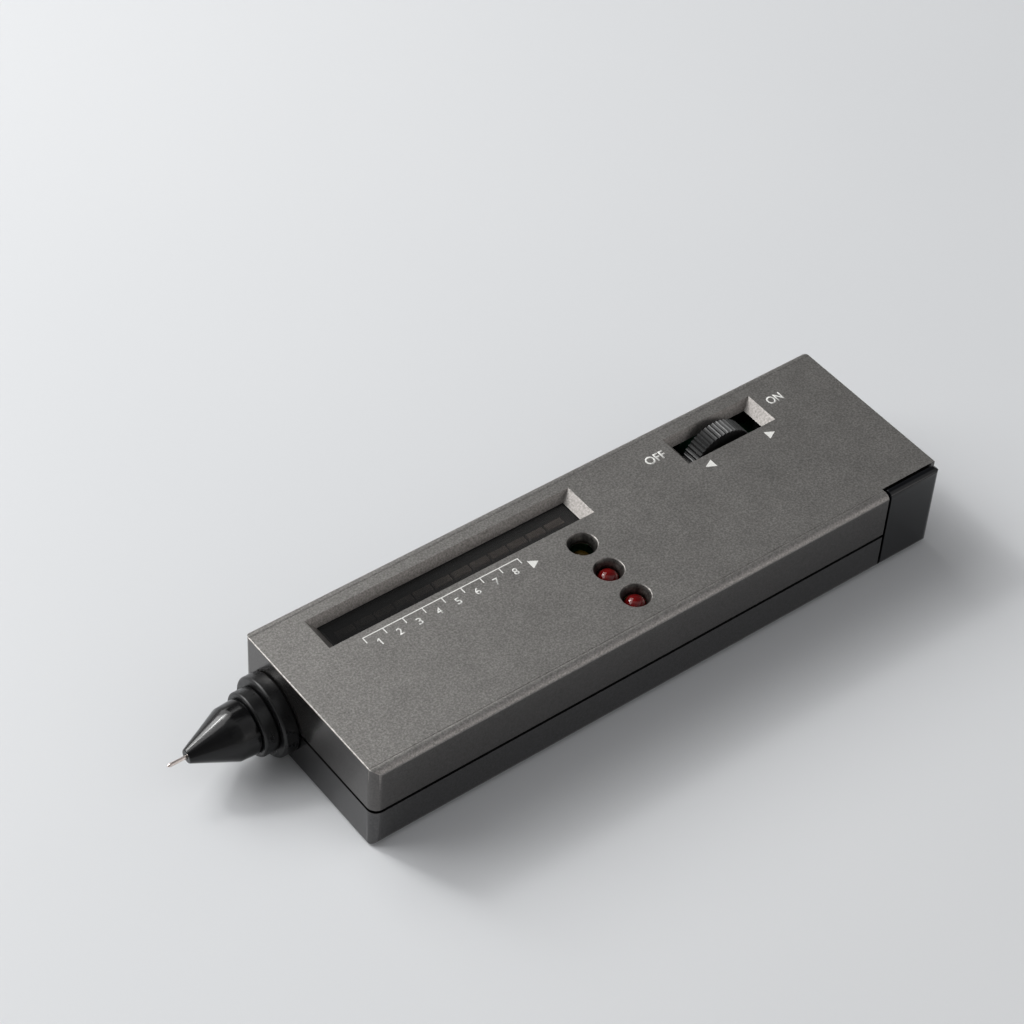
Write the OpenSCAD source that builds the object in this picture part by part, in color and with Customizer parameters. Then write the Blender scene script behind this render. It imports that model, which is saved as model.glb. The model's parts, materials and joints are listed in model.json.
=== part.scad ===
// Hand-held diamond tester: a flat box of two shells with a spring-loaded heated probe on the front.
// Origin: middle of the whole length (tip to rear), middle of the width, feet standing on z = 0.
// +X runs from the probe to the rear, -Y is the near long side, +Z is up.

/* [Case] */
// Length of the case without the probe
body_l = 148.5; // [134:0.5:165]
// Width of the case
body_w = 45; // [41:0.5:52]
// Height of the top face above the table
body_h = 22.7; // [20.5:0.1:26]
// Height of the seam between the shells above the table
seam_z = 10.7; // [10:0.1:10.9]
// Thickness of the side and end walls
wall_t = 1.8; // [1.6:0.1:2]
// Thickness of the top wall
top_t = 2.4; // [2.3:0.1:2.6]
// Thickness of the floor
floor_t = 1.5; // [1.3:0.1:1.7]
// Radius along the long top edges
top_edge_r = 1.5; // [0.5:0.1:2]
// Radius along the long bottom edges
bottom_edge_r = 2; // [0.5:0.1:2.5]
// Radius of the upright corners
corner_r = 2.2; // [0.8:0.1:2.4]
// Radius of the front and rear top and bottom edges
end_edge_r = 0.3; // [0.2:0.1:0.8]
// Width of the groove along the seam
seam_gap = 0.8; // [0.2:0.1:1]
// Depth of the groove along the seam
seam_d = 0.8; // [0.3:0.1:1]

/* [Display] */
// Distance of the display and wheel line from the far side
line_far = 8.8; // [8.6:0.1:9]
// Distance from the front face to the display recess
recess_front = 11.7; // [11.4:0.1:14]
// Length of the display recess at the top face
recess_l = 66.9; // [64:0.1:68]
// Width of the display recess at the top face
recess_w = 8.8; // [8:0.1:9.4]
// Inward run of the recess end slopes
recess_end = 2.2; // [1:0.1:2.6]
// Inward run of the recess long slopes
recess_side = 1.2; // [0.6:0.1:1.6]
// Thickness of the display window
window_t = 1; // [0.6:0.1:1.4]
// Ledge of the window under the top wall, all round
window_lip = 1.2; // [0.6:0.1:1.3]
// Number of light bars
bar_count = 12; // [8:1:12]
// Distance between neighbouring light bars
bar_pitch = 4.82; // [4.7:0.01:4.9]
// Length of one light bar
bar_l = 4.2; // [3:0.1:4.3]
// Width of one light bar
bar_w = 1.7; // [1:0.1:3]

/* [Lamps] */
// Distance from the front face to the lamp row
lamp_front = 70.9; // [69:0.1:73]
// Distance from the near side to the first lamp
lamp_near = 8.4; // [7.5:0.1:9]
// Distance from the display and wheel line to the last lamp
lamp_line = 10.2; // [9.6:0.1:11]
// Radius of a lamp recess at the top face
lamp_mouth_r = 3.4; // [3:0.1:3.6]
// Width of the bevelled rim round a lamp recess
mouth_edge = 0.2; // [0.1:0.05:0.3]
// Radius of a lamp
lamp_r = 2.5; // [2.2:0.05:2.5]
// Depth of the centre of a red lamp's dome below the top wall
lamp_dome_drop = 1; // [0.8:0.1:2]
// Depth of the amber lamp below the red ones
amber_drop = 2.1; // [0:0.1:2.5]

/* [Volume wheel] */
// Distance from the rear face to the wheel centre
wheel_rear = 32.1; // [31:0.1:33]
// Radius of the wheel over its ribs
wheel_r = 8.5; // [8:0.1:8.7]
// Thickness of the wheel
wheel_w = 4.1; // [3:0.1:4.2]
// Height of the wheel above the top face
wheel_proud = 0.5; // [0.3:0.1:0.9]
// Number of ribs round the wheel
rib_count = 50; // [40:2:72]
// Height of a rib
rib_h = 0.4; // [0.2:0.1:0.6]
// Turn of the wheel at rest, as an angle within one rib
rest_turn = 2.7; // [0:0.1:5]
// Length of the wheel recess at the top face
slot_l = 24.3; // [22:0.1:25]
// Width of the wheel recess at the top face
slot_w = 8.9; // [8:0.1:9.4]
// Inward run of the wheel recess end slopes
slot_end = 2.05; // [1:0.05:2.4]
// Inward run of the wheel recess long slopes
slot_side = 1.2; // [0.6:0.1:1.4]

/* [Probe] */
// Distance of the probe axis from the far side
probe_far = 11.2; // [11:0.1:12]
// Height of the probe axis
probe_z = 9.75; // [9.3:0.05:11]
// Radius of the collar
collar_r = 8.95; // [8:0.05:9.2]
// Length of the collar
collar_l = 3.5; // [2.5:0.1:5]
// Radius of the ring in front of the collar
ring_r = 7.15; // [6.5:0.05:7.8]
// Length of the ring
ring_l = 3.4; // [2.5:0.1:5]
// Radius of the nose cone at its base
nose_r = 6.1; // [5.9:0.05:6.4]
// Radius of the nose cone at its shoulder
shoulder_r = 5.85; // [5:0.05:5.9]
// Length of the nose cone from base to shoulder
shoulder_l = 4.4; // [3:0.1:6]
// Length of the nose cone from shoulder to end
cone_l = 9.7; // [8:0.1:12]
// Radius of the nose cone at its end
cone_end_r = 1.5; // [1.2:0.1:2]
// Radius of the neck that passes through the front wall
neck_r = 4.6; // [4.4:0.1:4.8]
// Radius of the probe tip
tip_r = 0.4; // [0.3:0.05:0.6]
// Length of the tip in front of the nose cone
tip_out = 4.3; // [3:0.1:5]
// Travel of the tip into the nose cone
tip_travel = 1.5; // [1:0.1:2]
// Radius of the bore behind the tip guide
barrel_r = 2.6; // [2.5:0.05:2.8]
// Length of the tip guide bore at the nose cone end
guide_l = 9; // [7:0.1:9.5]

/* [Battery] */
// Length of the battery can without its terminals
can_l = 46.4; // [44:0.1:50]
// Thickness of the foam pad under the battery
pad_t = 0.6; // [0.3:0.1:2]
// Width of the strip of board between the battery bay and the wheel
bay_strip = 2.2; // [1.6:0.1:4]
// Height of the battery terminals
stud_h = 2.1; // [1.8:0.1:2.4]
// Thickness of the snap connector
snap_t = 4; // [3.6:0.1:4.4]
// Length of the battery cover along the near side
cover_l = 14.6; // [12:0.1:20]
// Gap in front of the battery cover
cover_gap = 0.7; // [0.3:0.05:0.8]
// Radius of the rear corners of the battery cover
cover_corner_r = 2.2; // [0.6:0.1:2.4]

/* [Board] */
// Thickness of the circuit board
board_t = 1.6; // [1:0.1:1.6]
// Height of the potentiometer's shaft hole above the circuit board
pot_floor = 0.5; // [0.3:0.1:1]
// Radius of the buzzer
buzzer_r = 6; // [5:0.1:6.5]

/* [Underside] */
// Height of the rubber feet below the case
foot_h = 0.5; // [0.4:0.1:0.8]
// Radius of the rubber feet
foot_r = 4; // [3:0.1:4.5]
// Distance from the long sides to the middles of the feet
foot_side = 8.5; // [8:0.1:9]
// Length of the touch plate
plate_l = 24; // [16:0.5:26]
// Width of the touch plate
plate_w = 10; // [8:0.5:14]
// Thickness of the touch plate
plate_t = 0.5; // [0.3:0.1:0.8]

/* [Screws] */
// Radius of the screw threads
screw_r = 1; // [0.8:0.05:1.1]
// Radius of the case screw heads
screw_head_r = 1.9; // [1.7:0.05:2]
// Height of the case screw heads
screw_head_h = 1.3; // [1:0.1:1.5]
// Depth of the case screw head seats
screw_seat_z = 3; // [2.5:0.1:4]

/* [Hidden] */
BAR_NODES = [for (i = [1:bar_count]) str("bar_led_", i)];
CASE_NODES = ["upper_shell", "lower_shell", "battery_cover", "case_screws", "feet"];
TOUCH_NODES = ["touch_plate", "touch_spring"];
DISPLAY_NODES = ["display_window", "bar_holder", "amber_lamp", "battery_lamp", "ready_lamp"];
WHEEL_NODES = ["volume_wheel", "wheel_screw", "pot_shaft", "pot_body"];
NOSE_NODES = ["probe_collar", "probe_ring", "nose_cone", "probe_nut", "spring_plug", "probe_spring"];
TIP_NODES = ["probe_tip", "tip_holder", "tip_heater", "probe_leads"];
BOARD_NODES = ["circuit_board", "board_screws", "amplifier_chip", "display_driver_chip"];
SMALL_NODES = ["trimmers", "capacitors", "resistors", "buzzer"];
POWER_NODES = ["battery", "battery_terminals", "battery_snap", "battery_pad"];
LEAD_NODES = ["battery_lead_red", "battery_lead_black"];
$fn = 64;

// Clearances
fit = 0.05;
slide = 0.2;
gap = 0.3;
over = 1;

// Outer faces of the case
probe_reach = collar_l + ring_l + shoulder_l + cone_l + tip_out;
total_l = body_l + probe_reach;
front_x = probe_reach - total_l / 2;
rear_x = total_l / 2;
near_y = -body_w / 2;
far_y = body_w / 2;
ceil_z = body_h - top_t;
in_front_x = front_x + wall_t;
in_rear_x = rear_x - wall_t;
in_near_y = near_y + wall_t;
in_far_y = far_y - wall_t;

// Wheel and potentiometer
line_y = far_y - line_far;
wheel_x = rear_x - wheel_rear;
wheel_z = body_h + wheel_proud - wheel_r;
wheel_near_y = line_y - wheel_w / 2;
wheel_far_y = line_y + wheel_w / 2;
wheel_screw_r = 0.6;
wheel_screw_l = 3;
wheel_head_r = 1.3;
wheel_head_h = 0.6;
wheel_room = 0.5;
wheel_room_x = wheel_r + wheel_room;
wheel_room_near_y = wheel_near_y - wheel_head_h - gap / 2;
shaft_r = 1.5;
pot_r = 5.2;
pot_near_y = wheel_far_y + gap;
pot_wall = 0.7;

// Battery bay, between the wheel and the near side, and from the rear forwards.
// At the sizes above it holds the standard nine-volt block, 26.5 wide and 17.5 high.
tongue_t = 0.8;
tongue_l = 3;
rib_t = 1;
tongue_near_y = wheel_room_near_y - bay_strip;
rib_y = tongue_near_y - gap - rib_t;
cover_far_y = rib_y + gap;
can_near_y = in_near_y + slide + tongue_t + gap;
can_far_y = rib_y - gap;
can_w = can_far_y - can_near_y;
can_mid_y = (can_near_y + can_far_y) / 2;
can_rear_x = in_rear_x - 2 * slide;
can_front_x = can_rear_x - can_l;
floor_z = foot_h + floor_t;
can_z = floor_z + pad_t;
can_h = ceil_z - slide - can_z;
can_mid_z = can_z + can_h / 2;
can_corner_r = 1.5;
stud_side = 6.9;
stud_offset = can_w / 2 - stud_side;
snap_front_x = can_front_x - slide - snap_t;
snap_w = can_w - 1;
snap_h = can_h - 4.9;
battery_lead_r = 0.6;
battery_lead_offset = 1.5;
battery_lead_drop = 2.4;
battery_lead_in = 6;
rib_gap = 1;
rib_front_x = snap_front_x - rib_gap - rib_t;
rib_top_z = can_mid_z - battery_lead_r - 2 * gap;

// Circuit board, at the height that the potentiometer's shaft gives it
board_top_z = wheel_z - shaft_r - pot_floor;
board_z = board_top_z - board_t;
board_room = ceil_z - board_top_z;
board_edge = 0.5;
board_near_y = in_near_y + board_edge;
board_far_y = in_far_y - board_edge;
pot_l = board_far_y - pot_near_y;
shaft_l = pot_near_y + pot_l - pot_wall - fit - wheel_near_y;
wheel_room_far_y = pot_near_y - fit;
post_r = 2;
boss_r = 2.6;
floor_mid_z = foot_h + floor_t / 2;
boss_top_r = 2.3;
boss_side_l = 4.9;
neck_in = 6.5;
front_boss_x = front_x + neck_in + gap + boss_r;
mid_boss_x = rib_front_x - gap - boss_r;
rear_boss_x = in_rear_x - 3 * gap - boss_r;
boss_hole_l = 6.5;
boss_hole_spare = 1;
case_screw_l = seam_z - screw_seat_z + boss_hole_l - boss_hole_spare;
board_front_x = front_boss_x + boss_r + 2 * gap;
board_rear_x = mid_boss_x - boss_r - 2 * gap;

// Case screws: two at the front, one beside the battery bay, one at the far rear corner
case_bosses = [
    [front_boss_x, near_y + boss_side_l],
    [front_boss_x, far_y - boss_side_l],
    [mid_boss_x, near_y + boss_side_l],
    [rear_boss_x, far_y - boss_side_l]
];

// Display
recess_mid_x = front_x + recess_front + recess_l / 2;
window_z = ceil_z - window_t;
bar_top_z = window_z - slide;
bar_first_x = recess_mid_x - (bar_count - 1) * bar_pitch / 2;
holder_wall = 1.2;
holder_l = (bar_count - 1) * bar_pitch + bar_l + 2 * holder_wall;
holder_top_z = bar_top_z - 2 * gap;

// Lamps
lamp_x = front_x + lamp_front;
lamp_first_y = near_y + lamp_near;
lamp_pitch = (line_y - lamp_line - lamp_first_y) / 2;
lamp_mid_z = ceil_z - lamp_dome_drop;
lamp_throat_r = lamp_r - 0.1;
lamp_flange_r = lamp_r + 0.45;
lamp_flange_h = 1;

// Board posts: two near the front, one before the lamps, one behind the window, one behind the wheel
post_front_in = 8;
post_near_in = 4.2;
post_line_in = 8.7;
post_far_in = 2.7;
lamp_post_x = lamp_x - lamp_flange_r - 2 * gap - post_r;
window_post_x = recess_mid_x + recess_l / 2 - recess_end + window_lip + 2 * gap + post_r;
tongue_post_x = wheel_x + wheel_room_x + post_r + 2;
tongue_rear_x = tongue_post_x + post_r + board_edge;
board_posts = [
    [board_front_x + post_front_in, board_near_y + post_near_in],
    [board_front_x + post_front_in, line_y - post_line_in],
    [lamp_post_x, board_near_y + post_near_in],
    [window_post_x, board_far_y - post_far_in],
    [tongue_post_x, line_y]
];
board_screw_r = 0.8;
board_screw_l = 4.5;
board_head_r = 1.5;
board_head_h = 0.9;

// Probe, measured outwards from the front face
probe_y = far_y - probe_far;
ring_at = collar_l;
nose_at = collar_l + ring_l;
shoulder_at = nose_at + shoulder_l;
cone_end_at = shoulder_at + cone_l;
tip_end_at = cone_end_at + tip_out;
guide_at = cone_end_at - guide_l;
holder_r = barrel_r - 0.1;
holder_head_l = 5;
holder_stem_l = 3.5;
holder_stem_r = barrel_r - 1.1;
holder_at = guide_at - fit - holder_head_l;
heater_r = 0.85;
heater_l = 2.5;
heater_at = holder_at;
spring_wire_r = 0.25;
spring_room = 0.25;
spring_r = barrel_r - spring_room - spring_wire_r;
spring_turns = 9;
plug_in = 4;
plug_flange_r = 3.2;
plug_flange_t = 0.8;
plug_hole_r = 0.8;
nut_t = 3;
nut_r = 6.9;
probe_lead_r = 0.25;
probe_lead_y = probe_lead_r + fit;
probe_lead_at = heater_at - tip_travel - gap;
probe_lead_in = 2.5;

// Underside
foot_in = 0.4;
foot_apart = 2;
foot_front_x = front_boss_x + boss_r + foot_apart + foot_r;
foot_rear_x = rear_boss_x - boss_r - foot_apart - foot_r;
foot_near_y = near_y + foot_side;
foot_far_y = far_y - foot_side;
foot_places = [
    [foot_front_x, foot_near_y],
    [foot_front_x, foot_far_y],
    [foot_rear_x, foot_near_y],
    [foot_rear_x, foot_far_y]
];
plate_sink = 0.15;
plate_z = foot_h + plate_sink;
plate_at = 52;
plate_side = 18.5;
plate_x = front_x + plate_at;
plate_y = near_y + plate_side;
touch_spring_r = 1.2;
touch_wire_r = 0.2;
touch_turns = 8;

// Parts on the board, each placed from what it lies beside
buzzer_at = 32;
buzzer_side = 13.5;
buzzer_x = front_x + buzzer_at;
buzzer_y = near_y + buzzer_side;
part_gap = 1.2;
trimmer_w = 6.6;
trimmer_h = 4.5;
trimmer_pitch = 8.5;
trimmer_x = lamp_post_x - post_r - part_gap / 2 - trimmer_w / 2;
trimmer_y = board_near_y + post_near_in;
chip_w = 6.35;
chip_t = 3.3;
chip_lift = 0.5;
chip_pitch = 2.54;
amplifier_legs = 7;
amplifier_side = 12;
amplifier_x = trimmer_x - trimmer_w / 2 - part_gap - chip_l(amplifier_legs) / 2;
amplifier_y = near_y + amplifier_side;
driver_legs = 9;
driver_lamp = 23.9;
driver_line = 9;
driver_x = lamp_x - driver_lamp;
driver_y = line_y - driver_line;
capacitor_r = 2.5;
capacitor_h = 6.3;
capacitor_side = 13;
capacitor_pitch = 6;
capacitor_x = amplifier_x - chip_l(amplifier_legs) / 2 - part_gap - capacitor_r;
capacitor_y = near_y + capacitor_side;
resistor_count = 3;
resistor_r = 1.1;
resistor_l = 6;
resistor_lead_r = 0.3;
resistor_lead_out = 1.2;
resistor_pitch = 2.8;
resistor_x = board_front_x + board_edge + 2 * resistor_r;
resistor_y = (board_posts[0][1] + board_posts[1][1]) / 2;

// Profiles and helpers

// Rectangle centred on x with its lower edge at y = 0, rounded by one radius below and another above
module rounded_section(w, h, r_low, r_high) {
    r_most = max(r_low, r_high);
    translate([-w / 2 + r_most, 0]) square([w - 2 * r_most, h]);
    translate([-w / 2, r_low]) square([w, h - r_low - r_high]);
    for (side = [-1, 1]) {
        translate([side * (w / 2 - r_low), r_low]) circle(r_low);
        translate([side * (w / 2 - r_high), h - r_high]) circle(r_high);
    }
}

// Rounded outline of the case seen from above, drawn in by inset
module case_plan(inset = 0) {
    translate([(front_x + rear_x) / 2, near_y + inset])
        rounded_section(body_l - 2 * inset, body_w - 2 * inset, corner_r, corner_r);
}

// Outer form of the whole case, from the underside to the top face
module case_form() {
    form_h = body_h - foot_h;
    intersection() {
        translate([front_x, 0, foot_h]) rotate([90, 0, 90]) linear_extrude(body_l)
            rounded_section(body_w, form_h, bottom_edge_r, top_edge_r);
        translate([0, 0, foot_h - over]) linear_extrude(form_h + 2 * over) case_plan();
        translate([(front_x + rear_x) / 2, 0, foot_h]) rotate([90, 0, 0])
            linear_extrude(body_w + 2 * over, center = true)
            rounded_section(body_l, form_h, end_edge_r, end_edge_r);
    }
}

// Block between two corners
module block(a, b) {
    translate(a) cube(b - a);
}

// Inside of the case
module case_hollow() {
    block([in_front_x, in_near_y, floor_z], [in_rear_x, in_far_y, ceil_z]);
}

// Groove that shows as the dark seam
module seam_groove() {
    translate([0, 0, seam_z - seam_gap / 2]) linear_extrude(seam_gap) difference() {
        case_plan(-over);
        case_plan(seam_d);
    }
}

// Room for the battery cover in both shells
module cover_room() {
    block([rear_x - cover_l - cover_gap, near_y - over, -over],
          [rear_x + over, in_near_y + cover_gap, body_h + over]);
    block([in_rear_x - gap, near_y - over, floor_z],
          [rear_x + over, cover_far_y + slide, ceil_z]);
}

// Frustum that cuts a sloped recess through the top wall
module sloped_recess(l, w, run_end, run_side) {
    up = (top_t + over) / top_t;
    intersection() {
        rotate([90, 0, 0]) linear_extrude(w + 2 * over, center = true) polygon([
            [-l / 2 - run_end * (up - 1), over],
            [l / 2 + run_end * (up - 1), over],
            [l / 2 - run_end * up, -top_t - over],
            [-l / 2 + run_end * up, -top_t - over]
        ]);
        rotate([90, 0, 90]) linear_extrude(l + 2 * over, center = true) polygon([
            [-w / 2 - run_side * (up - 1), over],
            [w / 2 + run_side * (up - 1), over],
            [w / 2 - run_side * up, -top_t - over],
            [-w / 2 + run_side * up, -top_t - over]
        ]);
    }
}

// Cone with a bevelled rim that cuts a lamp recess through the top wall
module lamp_recess() {
    wall_r = lamp_mouth_r - mouth_edge;
    slope = (wall_r - lamp_throat_r) / (top_t - mouth_edge);
    low_r = lamp_throat_r - slope * over;
    high_r = wall_r + slope * (mouth_edge + over);
    translate([0, 0, -top_t - over]) cylinder(h = top_t + 2 * over, r1 = low_r, r2 = high_r);
    translate([0, 0, -mouth_edge - over])
        cylinder(h = mouth_edge + 2 * over, r1 = wall_r - over, r2 = lamp_mouth_r + over);
}

// Puts its children on the probe axis, with local z pointing outwards from the front face
module on_probe() {
    translate([front_x, probe_y, probe_z]) rotate([0, -90, 0]) children();
}

// Puts its children on the wheel axis, with local z pointing towards the far side
module on_wheel(y) {
    translate([wheel_x, y, wheel_z]) rotate([-90, 0, 0]) children();
}

// Screw that stands on its head, with a cross recess in the head's lower face
module cross_screw(head_r, head_h, shank_r, shank_l) {
    cross_w = head_r * 0.3;
    cross_l = head_r * 1.3;
    difference() {
        union() {
            cylinder(h = head_h, r = head_r);
            cylinder(h = head_h + shank_l, r = shank_r);
        }
        for (turn = [0, 90])
            rotate([0, 0, turn])
            translate([-cross_l / 2, -cross_w / 2, -over])
            cube([cross_l, cross_w, over + head_h / 2]);
    }
}

// One straight stretch of a round lead
module lead_stretch(a, b, r) {
    d = b - a;
    translate(a) rotate([0, acos(d[2] / norm(d)), atan2(d[1], d[0])]) cylinder(h = norm(d), r = r);
}

// Round lead along a list of points
module lead(points, r) {
    for (i = [0:len(points) - 2]) lead_stretch(points[i], points[i + 1], r);
    for (i = [1:len(points) - 2]) translate(points[i]) sphere(r);
}

// Coil spring of round wire standing on z = 0, each curl made of coil_steps rings with coil_sides sides
coil_steps = 8;
coil_sides = 6;
function coil_ring(r, wire, pitch, a, z) =
    let (rise = pitch / 360 * 180 / PI, n = norm([r, rise]))
    [for (k = [0:coil_sides - 1])
        let (b = 360 * k / coil_sides)
        [r * cos(a), r * sin(a), z]
        + wire * cos(b) * [cos(a), sin(a), 0]
        + wire * sin(b) * [-rise * sin(a), rise * cos(a), -r] / n];
function coil_rings(r, wire, pitch, steps) =
    [for (i = [0:steps]) coil_ring(r, wire, pitch, 360 * i / coil_steps, wire + pitch * i / coil_steps)];
function ring_gap(a, b) = min([for (p = a, q = b) norm(p - q)]);
function coil_gap(rings) = min([
    for (i = [0:len(rings) - coil_steps - 1], j = [coil_steps - 1:min(coil_steps + 1, len(rings) - 1 - i)])
    ring_gap(rings[i], rings[i + j])
]);
module coil(r, wire, length, turns) {
    steps = turns * coil_steps;
    pitch = (length - 2 * wire) / turns;
    rings = coil_rings(r, wire, pitch, steps);
    echo(str("least gap of the coil of radius ", r, " to itself: ", coil_gap(rings), " mm"));
    points = [for (ring = rings) each ring];
    sides = [for (i = [0:steps - 1], k = [0:coil_sides - 1])
        let (a = i * coil_sides + k, b = i * coil_sides + (k + 1) % coil_sides)
        each [[a, b, b + coil_sides], [a, b + coil_sides, a + coil_sides]]];
    first_cap = [for (k = [1:coil_sides - 2]) [0, k + 1, k]];
    last = steps * coil_sides;
    last_cap = [for (k = [1:coil_sides - 2]) [last, last + k, last + k + 1]];
    polyhedron(points = points, faces = concat(sides, first_cap, last_cap));
}

// Case

module upper_shell() {
    color([0.5, 0.485, 0.465]) difference() {
        union() {
            difference() {
                case_form();
                case_hollow();
                translate([0, 0, -over]) linear_extrude(seam_z + over) case_plan(-over);
            }
            for (p = case_bosses)
                translate([p[0], p[1], seam_z]) cylinder(h = ceil_z - seam_z + over / 2, r = boss_top_r);
            for (p = board_posts)
                translate([p[0], p[1], board_top_z]) cylinder(h = board_room + over / 2, r = post_r);
        }
        seam_groove();
        cover_room();
        translate([recess_mid_x, line_y, body_h])
            sloped_recess(recess_l, recess_w, recess_end, recess_side);
        translate([wheel_x, line_y, body_h]) sloped_recess(slot_l, slot_w, slot_end, slot_side);
        for (i = [0:2])
            translate([lamp_x, lamp_first_y + i * lamp_pitch, body_h]) lamp_recess();
        for (p = case_bosses)
            translate([p[0], p[1], seam_z - over]) cylinder(h = boss_hole_l + over, r = screw_r + fit);
        for (p = board_posts)
            translate([p[0], p[1], board_top_z - over])
            cylinder(h = board_screw_l + over, r = board_screw_r + fit);
        on_probe() translate([0, 0, -wall_t - over]) cylinder(h = wall_t + 2 * over, r = neck_r + fit);
    }
}

module lower_shell() {
    color([0.27, 0.27, 0.27]) difference() {
        union() {
            difference() {
                case_form();
                case_hollow();
                translate([0, 0, seam_z]) linear_extrude(body_h) case_plan(-over);
            }
            for (p = case_bosses)
                translate([p[0], p[1], floor_mid_z]) cylinder(h = seam_z - floor_mid_z, r = boss_r);
            block([rib_front_x, in_near_y - over / 2, floor_mid_z],
                  [rib_front_x + rib_t, rib_y + rib_t, rib_top_z]);
            block([rib_front_x, rib_y, floor_mid_z],
                  [in_rear_x - gap, rib_y + rib_t, rib_top_z]);
        }
        seam_groove();
        cover_room();
        for (p = case_bosses) {
            translate([p[0], p[1], -over]) cylinder(h = seam_z + 2 * over, r = screw_r + 3 * fit);
            translate([p[0], p[1], -over]) cylinder(h = screw_seat_z + over, r = screw_head_r + slide);
        }
        on_probe() translate([0, 0, -wall_t - over]) cylinder(h = wall_t + 2 * over, r = neck_r + fit);
        block([plate_x - plate_l / 2 - slide, plate_y - plate_w / 2 - slide, -over],
              [plate_x + plate_l / 2 + slide, plate_y + plate_w / 2 + slide, plate_z + plate_t]);
        translate([plate_x, plate_y, 0])
            cylinder(h = floor_z + over, r = touch_spring_r + touch_wire_r + gap);
        translate([buzzer_x, buzzer_y, -over]) sound_holes();
        for (p = foot_places)
            translate([p[0], p[1], -over]) cylinder(h = foot_h + foot_in + over, r = foot_r + slide);
    }
}

// Sound holes under the buzzer: one in the middle and a ring round it
module sound_holes() {
    hole_r = 0.75;
    cylinder(h = floor_z + 2 * over, r = hole_r);
    for (turn = [0:60:300])
        rotate([0, 0, turn]) translate([buzzer_r / 2, 0, 0]) cylinder(h = floor_z + 2 * over, r = hole_r);
}

module battery_cover() {
    groove_w = 1;
    groove_d = 0.5;
    groove_pitch = 2.4;
    groove_l = 14;
    low_z = floor_z + 2 * slide;
    high_z = ceil_z - 2 * slide;
    tongue_y = in_near_y + slide + tongue_t;
    color([0.06, 0.06, 0.065]) difference() {
        union() {
            intersection() {
                case_form();
                translate([rear_x - body_l / 2, 0, foot_h]) rotate([90, 0, 0])
                    linear_extrude(body_w + 2 * over, center = true)
                    rounded_section(body_l, body_h - foot_h, cover_corner_r, cover_corner_r);
                union() {
                    block([rear_x - cover_l, near_y - over, -over],
                          [rear_x + over, in_near_y, body_h + over]);
                    block([in_rear_x, near_y - over, floor_z + slide],
                          [rear_x + over, cover_far_y, ceil_z - slide]);
                }
            }
            block([rear_x - cover_l, in_near_y - over / 2, low_z],
                  [in_rear_x + over / 2, tongue_y, high_z]);
            block([rear_x - cover_l - tongue_l, in_near_y + slide, low_z],
                  [rear_x - cover_l + over, tongue_y, high_z]);
        }
        for (i = [-1:1]) {
            groove_z = body_h / 2 + i * groove_pitch;
            block([rear_x - groove_d, can_mid_y - groove_l / 2, groove_z - groove_w / 2],
                  [rear_x + over, can_mid_y + groove_l / 2, groove_z + groove_w / 2]);
        }
    }
}

module case_screws() {
    color([0.62, 0.62, 0.64]) for (p = case_bosses)
        translate([p[0], p[1], screw_seat_z - screw_head_h])
        cross_screw(screw_head_r, screw_head_h, screw_r, case_screw_l);
}

// Round pads in shallow pockets of the underside
module feet() {
    color([0.05, 0.05, 0.05]) for (p = foot_places)
        translate([p[0], p[1], 0]) cylinder(h = foot_h + foot_in, r = foot_r);
}

module touch_plate() {
    color([0.75, 0.74, 0.72])
        translate([plate_x - plate_l / 2, plate_y - plate_w / 2, plate_z])
        cube([plate_l, plate_w, plate_t]);
}

module touch_spring() {
    color([0.7, 0.68, 0.62])
        translate([plate_x, plate_y, plate_z + plate_t])
        coil(touch_spring_r, touch_wire_r, board_z - plate_z - plate_t, touch_turns);
}

// Display and lamps

module display_window() {
    l = recess_l - 2 * recess_end + 2 * window_lip;
    w = recess_w - 2 * recess_side + 2 * window_lip;
    color([0.08, 0.08, 0.09])
        translate([recess_mid_x - l / 2, line_y - w / 2, window_z])
        cube([l, w, window_t]);
}

// Footprint of light bar i, grown all round
module bar_outline(i, grow = 0) {
    translate([bar_first_x + (i - 1) * bar_pitch - bar_l / 2 - grow, line_y - bar_w / 2 - grow])
        square([bar_l + 2 * grow, bar_w + 2 * grow]);
}

module bar_led(i) {
    color([0.42, 0.36, 0.33])
        translate([0, 0, board_top_z])
        linear_extrude(bar_top_z - board_top_z) bar_outline(i);
}

module bar_holder() {
    w = bar_w + 2 * holder_wall;
    color([0.05, 0.05, 0.05]) translate([0, 0, board_top_z]) linear_extrude(holder_top_z - board_top_z)
        difference() {
            translate([recess_mid_x - holder_l / 2, line_y - w / 2]) square([holder_l, w]);
            for (i = [1:bar_count]) bar_outline(i, fit);
        }
}

// Round lamp on the board: flange, body and dome
module lamp(place, drop) {
    translate([lamp_x, lamp_first_y + place * lamp_pitch, board_top_z]) {
        cylinder(h = lamp_flange_h, r = lamp_flange_r);
        cylinder(h = lamp_mid_z - drop - board_top_z, r = lamp_r);
        translate([0, 0, lamp_mid_z - drop - board_top_z]) sphere(lamp_r);
    }
}

module ready_lamp() {
    color([0.55, 0.02, 0.03]) lamp(0, 0);
}

module battery_lamp() {
    color([0.55, 0.02, 0.03]) lamp(1, 0);
}

module amber_lamp() {
    color([0.42, 0.27, 0.05]) lamp(2, amber_drop);
}

// Volume wheel and potentiometer

module volume_wheel() {
    half = 180 / rib_count;
    color([0.1, 0.1, 0.105]) on_wheel(wheel_near_y) linear_extrude(wheel_w) difference() {
        rotate([0, 0, rest_turn]) polygon([
            for (i = [0:2 * rib_count - 1])
                (i % 2 == 0 ? wheel_r : wheel_r - rib_h) * [cos(i * half), sin(i * half)]
        ]);
        circle(shaft_r + fit / 2);
    }
}

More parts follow.
